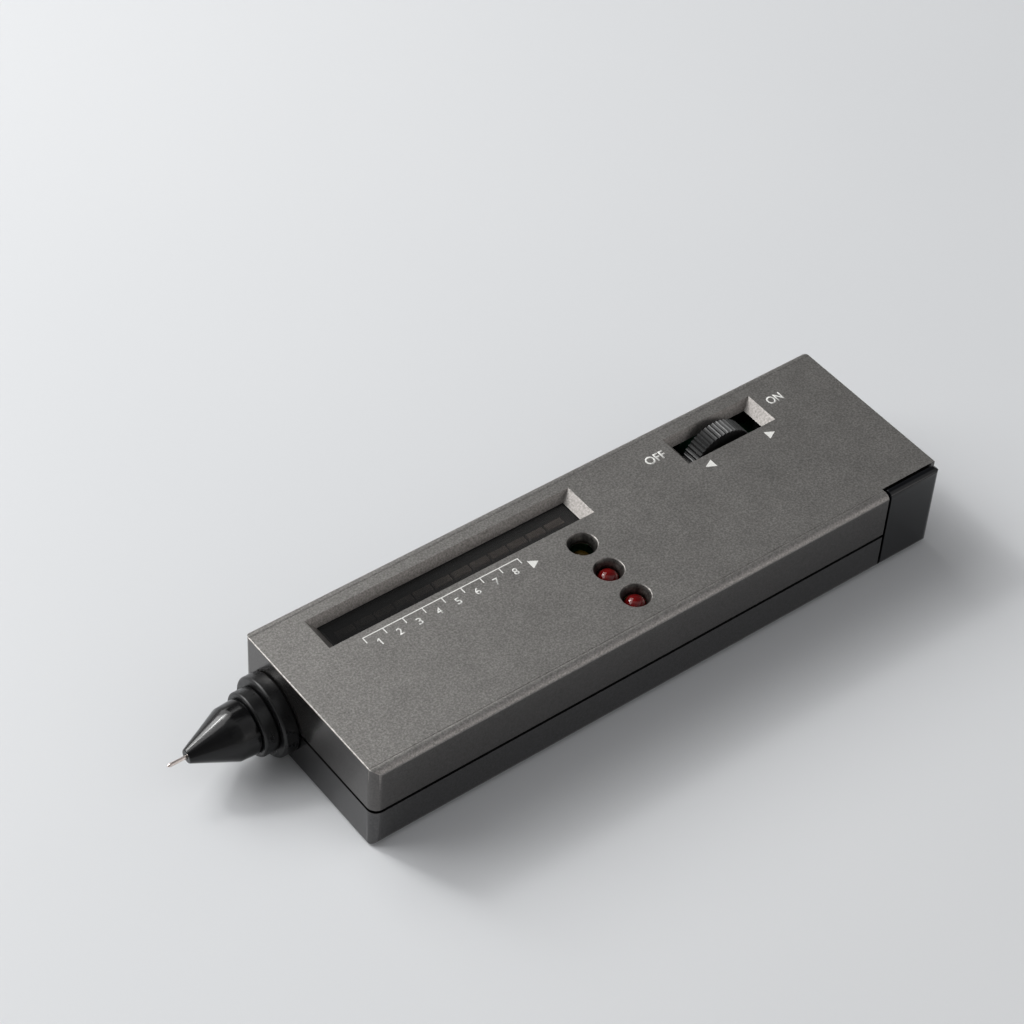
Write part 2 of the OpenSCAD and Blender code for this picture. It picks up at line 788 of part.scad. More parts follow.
module pot_shaft() {
    color([0.85, 0.84, 0.8]) difference() {
        on_wheel(wheel_near_y) cylinder(h = shaft_l, r = shaft_r);
        on_wheel(wheel_near_y - over) cylinder(h = wheel_screw_l + over + fit, r = wheel_screw_r + fit);
    }
}

module wheel_screw() {
    color([0.66, 0.66, 0.68]) on_wheel(wheel_near_y - wheel_head_h)
        cross_screw(wheel_head_r, wheel_head_h, wheel_screw_r, wheel_screw_l);
}

module pot_body() {
    color([0.2, 0.24, 0.2]) difference() {
        intersection() {
            on_wheel(pot_near_y) cylinder(h = pot_l, r = pot_r);
            block([wheel_x - pot_r - over, pot_near_y - over, board_top_z],
                  [wheel_x + pot_r + over, board_far_y + over, body_h]);
        }
        on_wheel(pot_near_y - over) cylinder(h = pot_l - pot_wall + over, r = shaft_r + fit);
    }
}

// Probe

module probe_collar() {
    color([0.08, 0.08, 0.085]) on_probe() difference() {
        cylinder(h = collar_l, r = collar_r);
        translate([0, 0, -over]) cylinder(h = collar_l + 2 * over, r = neck_r + fit);
    }
}

module probe_ring() {
    color([0.08, 0.08, 0.085]) on_probe() translate([0, 0, ring_at]) difference() {
        cylinder(h = ring_l, r = ring_r);
        translate([0, 0, -over]) cylinder(h = ring_l + 2 * over, r = neck_r + fit);
    }
}

module nose_cone() {
    color([0.03, 0.03, 0.035]) on_probe() difference() {
        union() {
            translate([0, 0, -neck_in]) cylinder(h = neck_in + nose_at + over, r = neck_r);
            translate([0, 0, nose_at]) cylinder(h = shoulder_l, r1 = nose_r, r2 = shoulder_r);
            translate([0, 0, shoulder_at]) cylinder(h = cone_l, r1 = shoulder_r, r2 = cone_end_r);
        }
        translate([0, 0, -neck_in - over]) cylinder(h = neck_in + over + guide_at, r = barrel_r);
        translate([0, 0, guide_at - over]) cylinder(h = guide_l + 2 * over, r = tip_r + fit);
    }
}

module probe_nut() {
    color([0.7, 0.66, 0.5]) on_probe() translate([0, 0, -wall_t - nut_t]) difference() {
        rotate([0, 0, 30]) cylinder(h = nut_t, r = nut_r, $fn = 6);
        translate([0, 0, -over]) cylinder(h = nut_t + 2 * over, r = neck_r + fit);
    }
}

module spring_plug() {
    color([0.75, 0.7, 0.5]) on_probe() difference() {
        union() {
            translate([0, 0, -neck_in]) cylinder(h = neck_in - plug_in, r = barrel_r - fit);
            translate([0, 0, -neck_in - plug_flange_t]) cylinder(h = plug_flange_t, r = plug_flange_r);
        }
        translate([0, 0, -neck_in - plug_flange_t - over])
            cylinder(h = neck_in + plug_flange_t + 2 * over, r = plug_hole_r);
    }
}

module probe_spring() {
    color([0.72, 0.72, 0.74]) on_probe() translate([0, 0, -plug_in])
        coil(spring_r, spring_wire_r, holder_at + plug_in, spring_turns);
}

module tip_holder() {
    color([0.8, 0.78, 0.7]) on_probe() difference() {
        union() {
            translate([0, 0, holder_at]) cylinder(h = holder_head_l, r = holder_r);
            translate([0, 0, holder_at - holder_stem_l])
                cylinder(h = holder_stem_l + over, r = holder_stem_r);
        }
        translate([0, 0, holder_at - holder_stem_l - over])
            cylinder(h = holder_stem_l + over + heater_l, r = heater_r + fit);
        translate([0, 0, heater_at + heater_l - over])
            cylinder(h = holder_head_l - heater_l + 2 * over, r = tip_r + fit);
    }
}

module tip_heater() {
    color([0.85, 0.83, 0.78]) on_probe() translate([0, 0, heater_at]) cylinder(h = heater_l, r = heater_r);
}

module probe_tip() {
    point_l = 0.5;
    color([0.72, 0.45, 0.3]) on_probe() {
        translate([0, 0, heater_at + heater_l])
            cylinder(h = tip_end_at - point_l - heater_at - heater_l, r = tip_r);
        translate([0, 0, tip_end_at - point_l]) cylinder(h = point_l, r1 = tip_r, r2 = tip_r / 2);
    }
}

module probe_leads() {
    end_x = board_front_x + probe_lead_in;
    color([0.7, 0.1, 0.1]) for (side = [-1, 1])
        lead([
            [front_x - probe_lead_at, probe_y + side * probe_lead_y, probe_z],
            [end_x, probe_y + side * probe_lead_y, probe_z],
            [end_x, probe_y + side * probe_lead_y, board_z]
        ], probe_lead_r);
}

// Circuit board and what is on it

module circuit_board() {
    color([0.1, 0.32, 0.16]) translate([0, 0, board_z]) linear_extrude(board_t) difference() {
        union() {
            translate([board_front_x, board_near_y])
                square([board_rear_x - board_front_x, board_far_y - board_near_y]);
            translate([board_rear_x - over, tongue_near_y])
                square([tongue_rear_x - board_rear_x + over, board_far_y - tongue_near_y]);
        }
        translate([wheel_x - wheel_room_x, wheel_room_near_y])
            square([2 * wheel_room_x, wheel_room_far_y - wheel_room_near_y]);
        for (p = board_posts) translate(p) circle(board_screw_r + slide);
    }
}

module board_screws() {
    color([0.62, 0.62, 0.64]) for (p = board_posts)
        translate([p[0], p[1], board_z - board_head_h])
        cross_screw(board_head_r, board_head_h, board_screw_r, board_t + board_screw_l - slide);
}

// Chip in a dual in-line case, with its legs standing on the board
function chip_l(legs_a_side) = legs_a_side * chip_pitch + 1;
module chip(x, y, legs_a_side) {
    l = chip_l(legs_a_side);
    notch_r = 0.8;
    leg_w = 0.5;
    leg_t = 0.3;
    leg_out = 0.6;
    translate([x, y, board_top_z]) {
        translate([-l / 2, -chip_w / 2, chip_lift]) difference() {
            cube([l, chip_w, chip_t]);
            translate([-over, chip_w / 2, chip_t]) rotate([0, 90, 0]) cylinder(h = 2 * over, r = notch_r);
        }
        for (i = [0:legs_a_side - 1], side = [0, 1])
            mirror([0, side, 0])
            translate([(i - (legs_a_side - 1) / 2) * chip_pitch - leg_w / 2, chip_w / 2, 0]) {
                translate([0, leg_out - leg_t, 0]) cube([leg_w, leg_t, chip_lift + chip_t / 2]);
                translate([0, -leg_t, chip_lift + chip_t / 2 - leg_t])
                    cube([leg_w, leg_out + leg_t, leg_t]);
            }
    }
}

module amplifier_chip() {
    color([0.08, 0.08, 0.08]) chip(amplifier_x, amplifier_y, amplifier_legs);
}

module display_driver_chip() {
    color([0.08, 0.08, 0.08]) chip(driver_x, driver_y, driver_legs);
}

module trimmers() {
    dial_r = 2;
    dial_d = 0.4;
    color([0.1, 0.3, 0.6]) for (i = [0:1])
        translate([trimmer_x, trimmer_y + i * trimmer_pitch, board_top_z]) difference() {
            translate([-trimmer_w / 2, -trimmer_w / 2, 0]) cube([trimmer_w, trimmer_w, trimmer_h]);
            translate([0, 0, trimmer_h - dial_d]) cylinder(h = over, r = dial_r);
        }
}

module capacitors() {
    color([0.1, 0.12, 0.3]) for (i = [0:1])
        translate([capacitor_x, capacitor_y + i * capacitor_pitch, board_top_z])
        cylinder(h = capacitor_h, r = capacitor_r);
}

// Resistor lying along Y, with its two leads bent down to the board
module resistor(x, y) {
    mid_z = board_top_z + resistor_r + fit;
    reach = resistor_l / 2 + resistor_lead_out;
    translate([x, y - resistor_l / 2, mid_z]) rotate([-90, 0, 0]) cylinder(h = resistor_l, r = resistor_r);
    lead([
        [x, y - reach, board_top_z],
        [x, y - reach, mid_z],
        [x, y + reach, mid_z],
        [x, y + reach, board_top_z]
    ], resistor_lead_r);
}

module resistors() {
    color([0.75, 0.65, 0.45])
        for (i = [0:resistor_count - 1]) resistor(resistor_x + i * resistor_pitch, resistor_y);
}

module buzzer() {
    port_r = 1;
    color([0.06, 0.06, 0.06]) translate([buzzer_x, buzzer_y, floor_z + gap]) difference() {
        cylinder(h = board_z - floor_z - gap, r = buzzer_r);
        translate([0, 0, -over]) cylinder(h = 2 * over, r = port_r);
    }
}

// Battery

module battery() {
    color([0.12, 0.12, 0.13]) translate([can_front_x, can_mid_y, can_z]) rotate([90, 0, 90])
        linear_extrude(can_l) rounded_section(can_w, can_h, can_corner_r, can_corner_r);
}

module battery_terminals() {
    plus_r = 2.9;
    minus_r = 4;
    color([0.75, 0.73, 0.68]) translate([can_front_x, can_mid_y, can_mid_z]) rotate([0, -90, 0]) {
        translate([0, -stud_offset, 0]) cylinder(h = stud_h, r = plus_r);
        translate([0, stud_offset, 0]) difference() {
            cylinder(h = stud_h, r = minus_r, $fn = 6);
            translate([0, 0, over / 2]) cylinder(h = stud_h, r = plus_r);
        }
    }
}

module battery_snap() {
    pocket_r = 4.3;
    color([0.09, 0.09, 0.09]) difference() {
        block([snap_front_x, can_mid_y - snap_w / 2, can_mid_z - snap_h / 2],
              [snap_front_x + snap_t, can_mid_y + snap_w / 2, can_mid_z + snap_h / 2]);
        for (side = [-1, 1])
            translate([can_front_x, can_mid_y + side * stud_offset, can_mid_z]) rotate([0, -90, 0])
            cylinder(h = stud_h + slide, r = pocket_r);
    }
}

module battery_pad() {
    inset = 3;
    color([0.15, 0.15, 0.16])
        block([can_front_x + inset, can_near_y + inset, floor_z],
              [can_rear_x - inset, can_far_y - inset, can_z]);
}

// Battery lead from the snap, over the bay wall and up to the underside of the board
module battery_lead(offset) {
    y = can_mid_y + offset;
    down_x = rib_front_x - gap - battery_lead_r;
    up_x = board_rear_x - battery_lead_in;
    low_z = board_z - battery_lead_drop;
    lead([
        [snap_front_x, y, can_mid_z],
        [down_x, y, can_mid_z],
        [down_x, y, low_z],
        [up_x, y, low_z],
        [up_x, y, board_z]
    ], battery_lead_r);
}

module battery_lead_red() {
    color([0.75, 0.05, 0.05]) battery_lead(battery_lead_offset);
}

module battery_lead_black() {
    color([0.05, 0.05, 0.05]) battery_lead(-battery_lead_offset);
}

upper_shell();
lower_shell();
battery_cover();
case_screws();
feet();
touch_plate();
touch_spring();
display_window();
bar_holder();
amber_lamp();
battery_lamp();
ready_lamp();
for (i = [1:bar_count]) bar_led(i);
volume_wheel();
wheel_screw();
pot_shaft();
pot_body();
probe_collar();
probe_ring();
nose_cone();
probe_nut();
spring_plug();
probe_spring();
probe_tip();
tip_holder();
tip_heater();
probe_leads();
circuit_board();
board_screws();
amplifier_chip();
display_driver_chip();
trimmers();
capacitors();
resistors();
buzzer();
battery();
battery_terminals();
battery_snap();
battery_pad();
battery_lead_red();
battery_lead_black();
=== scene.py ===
import json
import math

import bmesh
import bpy
from mathutils import Matrix, Vector

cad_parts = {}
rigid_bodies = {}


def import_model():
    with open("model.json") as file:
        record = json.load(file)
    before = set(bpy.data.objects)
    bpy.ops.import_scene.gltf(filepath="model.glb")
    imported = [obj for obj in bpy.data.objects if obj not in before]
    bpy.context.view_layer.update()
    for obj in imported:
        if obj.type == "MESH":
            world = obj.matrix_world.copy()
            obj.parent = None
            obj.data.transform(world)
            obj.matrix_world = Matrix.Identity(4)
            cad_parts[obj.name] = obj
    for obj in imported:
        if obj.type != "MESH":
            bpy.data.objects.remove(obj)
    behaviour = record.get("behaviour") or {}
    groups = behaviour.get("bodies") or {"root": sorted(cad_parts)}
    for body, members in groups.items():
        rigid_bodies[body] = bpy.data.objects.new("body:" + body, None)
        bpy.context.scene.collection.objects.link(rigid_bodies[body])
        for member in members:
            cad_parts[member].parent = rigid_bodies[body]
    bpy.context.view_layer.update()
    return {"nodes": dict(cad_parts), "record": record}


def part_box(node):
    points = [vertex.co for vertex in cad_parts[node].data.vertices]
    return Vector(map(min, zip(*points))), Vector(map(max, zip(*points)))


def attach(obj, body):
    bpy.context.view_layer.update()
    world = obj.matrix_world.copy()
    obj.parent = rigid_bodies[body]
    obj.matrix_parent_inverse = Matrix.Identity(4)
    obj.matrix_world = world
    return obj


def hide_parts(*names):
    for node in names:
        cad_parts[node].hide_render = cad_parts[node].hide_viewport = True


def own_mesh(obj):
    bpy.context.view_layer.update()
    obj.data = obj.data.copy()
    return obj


for left in list(bpy.data.objects):
    bpy.data.objects.remove(left, do_unlink=True)

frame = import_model()
nodes = frame["nodes"]
MM = 0.001

# Heights taken from the CAD, in metres
TOP_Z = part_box("upper_shell")[1].z
SEAM_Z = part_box("lower_shell")[1].z


def middle(node):
    low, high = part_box(node)
    return (low + high) / 2


def grey(shade):
    return (shade, shade, shade)


def scaled(colour, factor):
    return tuple(factor * part for part in colour)


# Helpers for shader nodes
NOISE_LOW, NOISE_HIGH = 0.3, 0.7
BEND_FROM, BEND_FULL = 0.02, 0.35
AXIS_EDGE = 0.01 * MM


def new_node(tree, kind, **values):
    made = tree.nodes.new(kind)
    for key, value in values.items():
        setattr(made, key, value)
    return made


def fill_ramp(band, stops):
    while len(band.elements) < len(stops):
        band.elements.new(0.5)
    for element, (at, colour) in zip(band.elements, stops):
        element.position = at
        element.color = (*colour, 1.0)


class Paint:
    """One procedural material: a Principled shader and small helpers that feed it."""

    def __init__(self, name):
        self.material = bpy.data.materials.new(name)
        self.material.use_nodes = True
        self.tree = self.material.node_tree
        self.shader = self.tree.nodes["Principled BSDF"]
        self.coords = self.node("ShaderNodeTexCoord")
        self.bumps = []

    def node(self, kind, **values):
        return new_node(self.tree, kind, **values)

    def link(self, a, b):
        self.tree.links.new(a, b)

    def place(self, stretch):
        """Coordinates of the object, stretched along its axes."""
        mapping = self.node("ShaderNodeMapping")
        mapping.inputs["Scale"].default_value = stretch
        self.link(self.coords.outputs["Object"], mapping.inputs["Vector"])
        return mapping.outputs["Vector"]

    def noise(self, size_mm, detail, rough, stretch=(1, 1, 1)):
        made = self.node("ShaderNodeTexNoise")
        made.inputs["Scale"].default_value = 1 / (size_mm * MM)
        made.inputs["Detail"].default_value = detail
        made.inputs["Roughness"].default_value = rough
        self.link(self.place(stretch), made.inputs["Vector"])
        return made.outputs["Fac"]

    def cells(self, size_mm, stretch=(1, 1, 1), feature="F1"):
        made = self.node("ShaderNodeTexVoronoi", feature=feature)
        made.inputs["Scale"].default_value = 1 / (size_mm * MM)
        self.link(self.place(stretch), made.inputs["Vector"])
        return made.outputs["Distance"]

    def spread(self, fac, low, high, to_low=0.0, to_high=1.0):
        """Maps low..high onto to_low..to_high, and holds what lies outside at the ends."""
        made = self.node("ShaderNodeMapRange", clamp=True)
        made.inputs["From Min"].default_value = low
        made.inputs["From Max"].default_value = high
        made.inputs["To Min"].default_value = to_low
        made.inputs["To Max"].default_value = to_high
        self.link(fac, made.inputs["Value"])
        return made.outputs["Result"]

    def even(self, noise, to_low=0.0, to_high=1.0):
        """Spreads the values that a noise mostly has over a whole range."""
        return self.spread(noise, NOISE_LOW, NOISE_HIGH, to_low, to_high)

    def ramp(self, fac, stops):
        made = self.node("ShaderNodeValToRGB")
        fill_ramp(made.color_ramp, stops)
        self.link(fac, made.inputs["Fac"])
        return made.outputs["Color"]

    def tones(self, fac, low, high):
        """From one colour to another."""
        return self.ramp(fac, [(0.0, low), (1.0, high)])

    def blend(self, fac, a, b):
        made = self.node("ShaderNodeMix", data_type="RGBA", blend_type="MIX")
        self.link(fac, made.inputs["Factor"])
        for socket, value in ((made.inputs[6], a), (made.inputs[7], b)):
            if isinstance(value, tuple):
                socket.default_value = (*value, 1.0)
            else:
                self.link(value, socket)
        return made.outputs[2]

    def maths(self, how, a, b):
        made = self.node("ShaderNodeMath", operation=how)
        for socket, value in ((made.inputs[0], a), (made.inputs[1], b)):
            if isinstance(value, (int, float)):
                socket.default_value = value
            else:
                self.link(value, socket)
        return made.outputs[0]

    def facing(self, axis, low, high):
        """How far the surface faces along one axis of the world, from low to high, as 0 to 1."""
        split = self.node("ShaderNodeSeparateXYZ")
        geometry = self.node("ShaderNodeNewGeometry")
        self.link(geometry.outputs["Normal"], split.inputs["Vector"])
        return self.spread(split.outputs[axis], low, high)

    def along(self, axis, low, high, to_low=0.0, to_high=1.0):
        """How far a point lies along one axis of the object, from low to high."""
        split = self.node("ShaderNodeSeparateXYZ")
        self.link(self.coords.outputs["Object"], split.inputs["Vector"])
        return self.spread(split.outputs[axis], low, high, to_low, to_high)

    def distance(self, point, keep):
        """Distance to a point, measured only along the axes for which keep is 1."""
        away = self.node("ShaderNodeVectorMath", operation="DISTANCE")
        self.link(self.place(keep), away.inputs[0])
        away.inputs[1].default_value = point
        return away.outputs["Value"]

    def near_axes(self, points, radius):
        """1 within a radius of any of the upright axes through the given points."""
        total = None
        for point in points:
            away = self.distance((point.x, point.y, 0), (1, 1, 0))
            inside = self.spread(away, radius - AXIS_EDGE, radius + AXIS_EDGE, 1.0, 0.0)
            total = inside if total is None else self.maths("MAXIMUM", total, inside)
        return total

    def worn(self, radius_mm):
        """1 on convex and concave edges, 0 on flat faces, broken up by noise."""
        bevel = self.node("ShaderNodeBevel", samples=4)
        bevel.inputs["Radius"].default_value = radius_mm * MM
        geometry = self.node("ShaderNodeNewGeometry")
        dot = self.node("ShaderNodeVectorMath", operation="DOT_PRODUCT")
        self.link(bevel.outputs["Normal"], dot.inputs[0])
        self.link(geometry.outputs["Normal"], dot.inputs[1])
        bend = self.spread(self.maths("SUBTRACT", 1.0, dot.outputs["Value"]), BEND_FROM, BEND_FULL)
        broken = self.spread(self.noise(0.9, 4, 0.6), 0.35, 0.62)
        return self.maths("MULTIPLY", bend, broken)

    def wear(self, colour, radius_mm, amount, worn_to):
        """The colour, with its edges rubbed toward another one."""
        return self.blend(self.maths("MULTIPLY", self.worn(radius_mm), amount), colour, worn_to)

    def bump(self, fac, depth_mm, strength=0.5):
        made = self.node("ShaderNodeBump")
        made.inputs["Strength"].default_value = strength
        made.inputs["Distance"].default_value = depth_mm * MM
        self.link(fac, made.inputs["Height"])
        if self.bumps:
            self.link(self.bumps[-1].outputs["Normal"], made.inputs["Normal"])
        self.bumps.append(made)

    def done(self, colour, rough, **settings):
        """Feeds the shader. Settings are constants for its other inputs, with _ for a space."""
        self.link(colour, self.shader.inputs["Base Color"])
        self.link(rough, self.shader.inputs["Roughness"])
        self.link(self.bumps[-1].outputs["Normal"], self.shader.inputs["Normal"])
        for key, value in settings.items():
            self.shader.inputs[key.replace("_", " ")].default_value = value
        return self.material


# Paint of the two shells. Faces are told apart by the upward part of their normal, and the colour follows it
# as painted light: lighter on the top, a little darker on the slopes, darkest on the upright sides.
TILTED_FROM, TILTED_FULL = 0.15, 0.40
FLAT_FROM, FLAT_FULL = 0.90, 0.985
WALL_FROM, WALL_FULL = 0.985, 0.93
# Shares of a shade where the flake is dark and where it is bright
TOP_DARK, TOP_BRIGHT = 0.66, 1.45
SLOPE_DARK, SLOPE_BRIGHT = 0.62, 1.45
SIDE_DARK, SIDE_BRIGHT = 0.80, 1.22
TOP_CLOUD = 0.75
SIDE_ROUGH, SLOPE_ROUGH, TOP_ROUGH = grey(0.19), grey(0.42), grey(0.46)
# Colour of the lightened shell edges: partly rubbed paint, partly a painted edge highlight.
EDGE_WEAR_AND_HIGHLIGHT = (0.72, 0.70, 0.67)
LAMP_WALL_R = 3.22 * MM
RECESS_SHADE_RISE = 1.0 * MM
SEAM_HALF = 0.4 * MM
SEAM_EDGE = 0.01 * MM


def lamp_recess_shade(p, colour):
    """Painted shade: the walls of the three lamp recesses are darkened, with blotches, above the seam only.
    """
    lamps = [middle(lamp) for lamp in ("ready_lamp", "battery_lamp", "amber_lamp")]
    wall = p.maths("MULTIPLY", p.near_axes(lamps, LAMP_WALL_R), p.facing("Z", WALL_FROM, WALL_FULL))
    wall = p.maths("MULTIPLY", wall, p.along("Z", SEAM_Z + RECESS_SHADE_RISE, SEAM_Z + 2 * RECESS_SHADE_RISE))
    blotches = p.spread(p.noise(1.1, 5, 0.7), 0.32, 0.68)
    return p.blend(wall, colour, p.tones(blotches, (0.035, 0.033, 0.031), (0.20, 0.19, 0.18)))


def seam_shade(p, colour):
    """Painted shade: near black in the seam groove between the shells."""
    low = SEAM_Z - SEAM_HALF - SEAM_EDGE
    high = SEAM_Z + SEAM_HALF + SEAM_EDGE
    above = p.along("Z", low - SEAM_EDGE, low)
    below = p.along("Z", high, high + SEAM_EDGE, 1.0, 0.0)
    return p.blend(p.maths("MULTIPLY", above, below), colour, grey(0.004))


def metal_paint(name, top_painted_light, slope_painted_light, side_painted_shade):
    """Warm grey metallic paint with a flake, smoother on upright faces. Its colour is painted light and
    shade by facing: lighter on the top, darker on the slopes and darkest on the upright faces.
    """
    p = Paint(name)
    flake = p.even(p.noise(0.43, 3, 0.72))
    cloud = p.spread(p.noise(16, 2, 0.5), 0.35, 0.65, 0.0, 0.10)
    top = p.ramp(flake, [(0.0, scaled(top_painted_light, TOP_DARK)), (0.5, top_painted_light),
                         (1.0, scaled(top_painted_light, TOP_BRIGHT))])
    top = p.blend(cloud, top, scaled(top_painted_light, TOP_CLOUD))
    slope = p.tones(flake, scaled(slope_painted_light, SLOPE_DARK), scaled(slope_painted_light, SLOPE_BRIGHT))
    side = p.tones(flake, scaled(side_painted_shade, SIDE_DARK), scaled(side_painted_shade, SIDE_BRIGHT))
    tilted = p.facing("Z", TILTED_FROM, TILTED_FULL)
    flat = p.facing("Z", FLAT_FROM, FLAT_FULL)
    colour = lamp_recess_shade(p, p.blend(flat, p.blend(tilted, side, slope), top))
    # The edges are lightened by the wear mask: partly rubbed paint, partly a painted edge highlight.
    colour = seam_shade(p, p.wear(colour, 0.22, 0.42, EDGE_WEAR_AND_HIGHLIGHT))
    rough = p.blend(flat, p.blend(tilted, SIDE_ROUGH, SLOPE_ROUGH), TOP_ROUGH)
    rough = p.maths("ADD", rough, p.even(p.noise(5, 4, 0.6), -0.03, 0.03))
    p.bump(p.noise(0.5, 3, 0.6), 0.012)
    return p.done(colour, rough, Metallic=0.92)


# Blacks
RIB_VALLEY_R, RIB_CREST_R = 8.29 * MM, 8.42 * MM


def gloss_black():
    """Polished black plastic with faint rub marks."""
    p = Paint("gloss_black")
    rub = p.noise(1.2, 5, 0.65, stretch=(0.12, 1, 1))
    colour = p.tones(p.even(rub), (0.0010, 0.0013, 0.0020), (0.0032, 0.0038, 0.0052))
    colour = p.wear(colour, 0.2, 0.3, (0.08, 0.08, 0.09))
    p.bump(p.noise(7, 2, 0.5), 0.03, 0.25)
    p.bump(rub, 0.002)
    return p.done(colour, p.spread(rub, 0.3, 0.75, 0.06, 0.17), Specular_IOR_Level=0.4)


def satin_black(name, low, high, rough_low, rough_high, grain_mm, depth_mm,
                worn_to=grey(0.13), wear=0.5, shine=0.5):
    """Black plastic or rubber with a fine grain."""
    p = Paint(name)
    grain = p.noise(grain_mm, 4, 0.65)
    colour = p.wear(p.tones(p.even(grain), low, high), 0.22, wear, worn_to)
    p.bump(grain, depth_mm)
    rough = p.even(p.noise(2.5, 4, 0.6), rough_low, rough_high)
    return p.done(colour, rough, Specular_IOR_Level=shine)


def ribbed_black():
    """Moulded black wheel, smoother on the crests of the ribs and rougher in the valleys and on its flat
    sides. Its colour is painted light: near black in the valleys and on the flat sides as painted shade,
    lighter on the crests as a painted highlight.
    """
    p = Paint("wheel_black")
    axle = middle("pot_shaft")
    crest = p.spread(p.distance((axle.x, 0, axle.z), (1, 0, 1)), RIB_VALLEY_R, RIB_CREST_R)
    grain = p.noise(0.5, 4, 0.65)
    # Painted shade and highlight: near black in the valleys and on the flat sides, lighter on the crests of
    # the ribs.
    valley_and_side_shade = p.tones(p.even(grain), (0.0006, 0.0006, 0.0008), (0.002, 0.002, 0.0024))
    bright = p.tones(p.even(grain), (0.030, 0.031, 0.031), (0.065, 0.067, 0.067))
    rough = p.blend(crest, grey(0.58), grey(0.16))
    rough = p.maths("ADD", rough, p.even(p.noise(1.5, 4, 0.6), -0.04, 0.04))
    p.bump(grain, 0.006)
    return p.done(p.blend(crest, valley_and_side_shade, bright), rough, Specular_IOR_Level=0.65)


# Window, lamps and light bars
def tinted_window():
    """Smoked acrylic over the light bars, with a few hairline marks. Its colour runs from dark at the front
    end to light at the rear end, as painted shade and reflection.
    """
    p = Paint("tinted_window")
    low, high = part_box("display_window")
    # Painted shade and reflection: darker toward the front end, lighter toward the rear end.
    smoke_and_painted_light = p.ramp(p.along("X", low.x, high.x), [
        (0.0, (0.10, 0.10, 0.10)), (0.37, (0.17, 0.168, 0.166)),
        (0.52, (0.29, 0.283, 0.277)), (1.0, (0.37, 0.358, 0.348)),
    ])
    colour = p.blend(p.even(p.noise(9, 3, 0.5), 0.0, 0.3), smoke_and_painted_light, (0.16, 0.155, 0.15))
    hairlines = p.noise(0.6, 5, 0.7, stretch=(0.06, 1, 1))
    p.bump(p.noise(14, 2, 0.5), 0.02, 0.2)
    rough = p.spread(hairlines, 0.45, 0.8, 0.03, 0.10)
    return p.done(colour, rough, Transmission_Weight=0.94, IOR=1.49)


def lens(name, low, high, through):
    """Clear tinted epoxy of a round lamp."""
    p = Paint(name)
    colour = p.tones(p.even(p.noise(1.8, 3, 0.5)), low, high)
    rough = p.even(p.noise(0.7, 3, 0.6), 0.03, 0.07)
    p.bump(p.noise(1.1, 2, 0.5), 0.01, 0.3)
    return p.done(colour, rough, Transmission_Weight=through, IOR=1.54, Specular_IOR_Level=0.38)


def bar_lens():
    """Milky plastic of an unlit light bar."""
    p = Paint("bar_lens")
    colour = p.tones(p.even(p.noise(0.7, 4, 0.7)), (0.62, 0.53, 0.46), (0.86, 0.75, 0.66))
    p.bump(p.noise(0.5, 3, 0.6), 0.01, 0.4)
    return p.done(colour, p.even(p.noise(1.5, 3, 0.6), 0.35, 0.5))


# Bare metals, plastics and ceramics
def metal(name, low, high, rough_low, rough_high, stretch=(1, 1, 1), grain_mm=0.25,
          worn_to=(0.85, 0.84, 0.82)):
    """Bare metal with a fine brushed grain."""
    p = Paint(name)
    brush = p.noise(grain_mm, 4, 0.6, stretch=stretch)
    colour = p.wear(p.tones(p.even(p.noise(3, 3, 0.6)), low, high), 0.12, 0.3, worn_to)
    p.bump(brush, 0.004)
    return p.done(colour, p.spread(brush, 0.25, 0.75, rough_low, rough_high), Metallic=1.0)


def plastic(name, low, high, rough_low=0.35, rough_high=0.5, grain_mm=0.6, worn_to=grey(0.7)):
    """Moulded plastic or ceramic with a fine grain."""
    p = Paint(name)
    grain = p.noise(grain_mm, 4, 0.6)
    colour = p.wear(p.tones(p.even(grain), low, high), 0.15, 0.2, worn_to)
    p.bump(grain, 0.01)
    return p.done(colour, p.even(p.noise(2, 3, 0.6), rough_low, rough_high))


# Looks of single pieces inside the case
BAND_FROM, BAND_FULL = 0.30, 0.305


def circuit_green():
    """Solder mask with the weave of the board showing faintly, and copper runs under it."""
    p = Paint("board_green")
    weave = p.maths("MULTIPLY", p.noise(0.6, 1, 0.5, stretch=(1, 0.1, 1)),
                    p.noise(0.6, 1, 0.5, stretch=(0.1, 1, 1)))
    runs = p.spread(p.cells(4.5, stretch=(1, 0.45, 1), feature="F2"), 0.48, 0.52)
    colour = p.tones(p.spread(weave, 0.15, 0.4), (0.008, 0.055, 0.022), (0.018, 0.095, 0.038))
    colour = p.blend(p.maths("MULTIPLY", runs, 0.5), colour, (0.035, 0.16, 0.06))
    p.bump(runs, 0.02)
    return p.done(colour, p.spread(weave, 0.1, 0.4, 0.25, 0.42))


def foam():
    """Open-pored black foam."""
    p = Paint("pad_foam")
    pores = p.cells(0.5)
    colour = p.ramp(pores, [(0.0, (0.006, 0.006, 0.007)), (0.7, (0.03, 0.03, 0.034))])
    p.bump(pores, 0.15, 0.8)
    return p.done(colour, p.spread(pores, 0.0, 0.8, 0.8, 0.98))


def battery_can():
    """Plain metal can, wrapped in two bands of colour with no lettering."""
    p = Paint("battery_can")
    scuff = p.noise(0.8, 5, 0.65, stretch=(0.2, 1, 1))
    low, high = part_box("battery")
    length = high.x - low.x
    band = p.along("X", low.x + length * BAND_FROM, low.x + length * BAND_FULL)
    colour = p.blend(band, (0.30, 0.17, 0.05), (0.022, 0.022, 0.026))
    colour = p.blend(p.spread(scuff, 0.45, 0.8, 0.0, 0.35), colour, (0.3, 0.28, 0.25))
    colour = p.wear(colour, 0.4, 0.7, (0.65, 0.64, 0.62))
    p.bump(scuff, 0.006)
    return p.done(colour, p.even(scuff, 0.22, 0.38), Metallic=0.55)


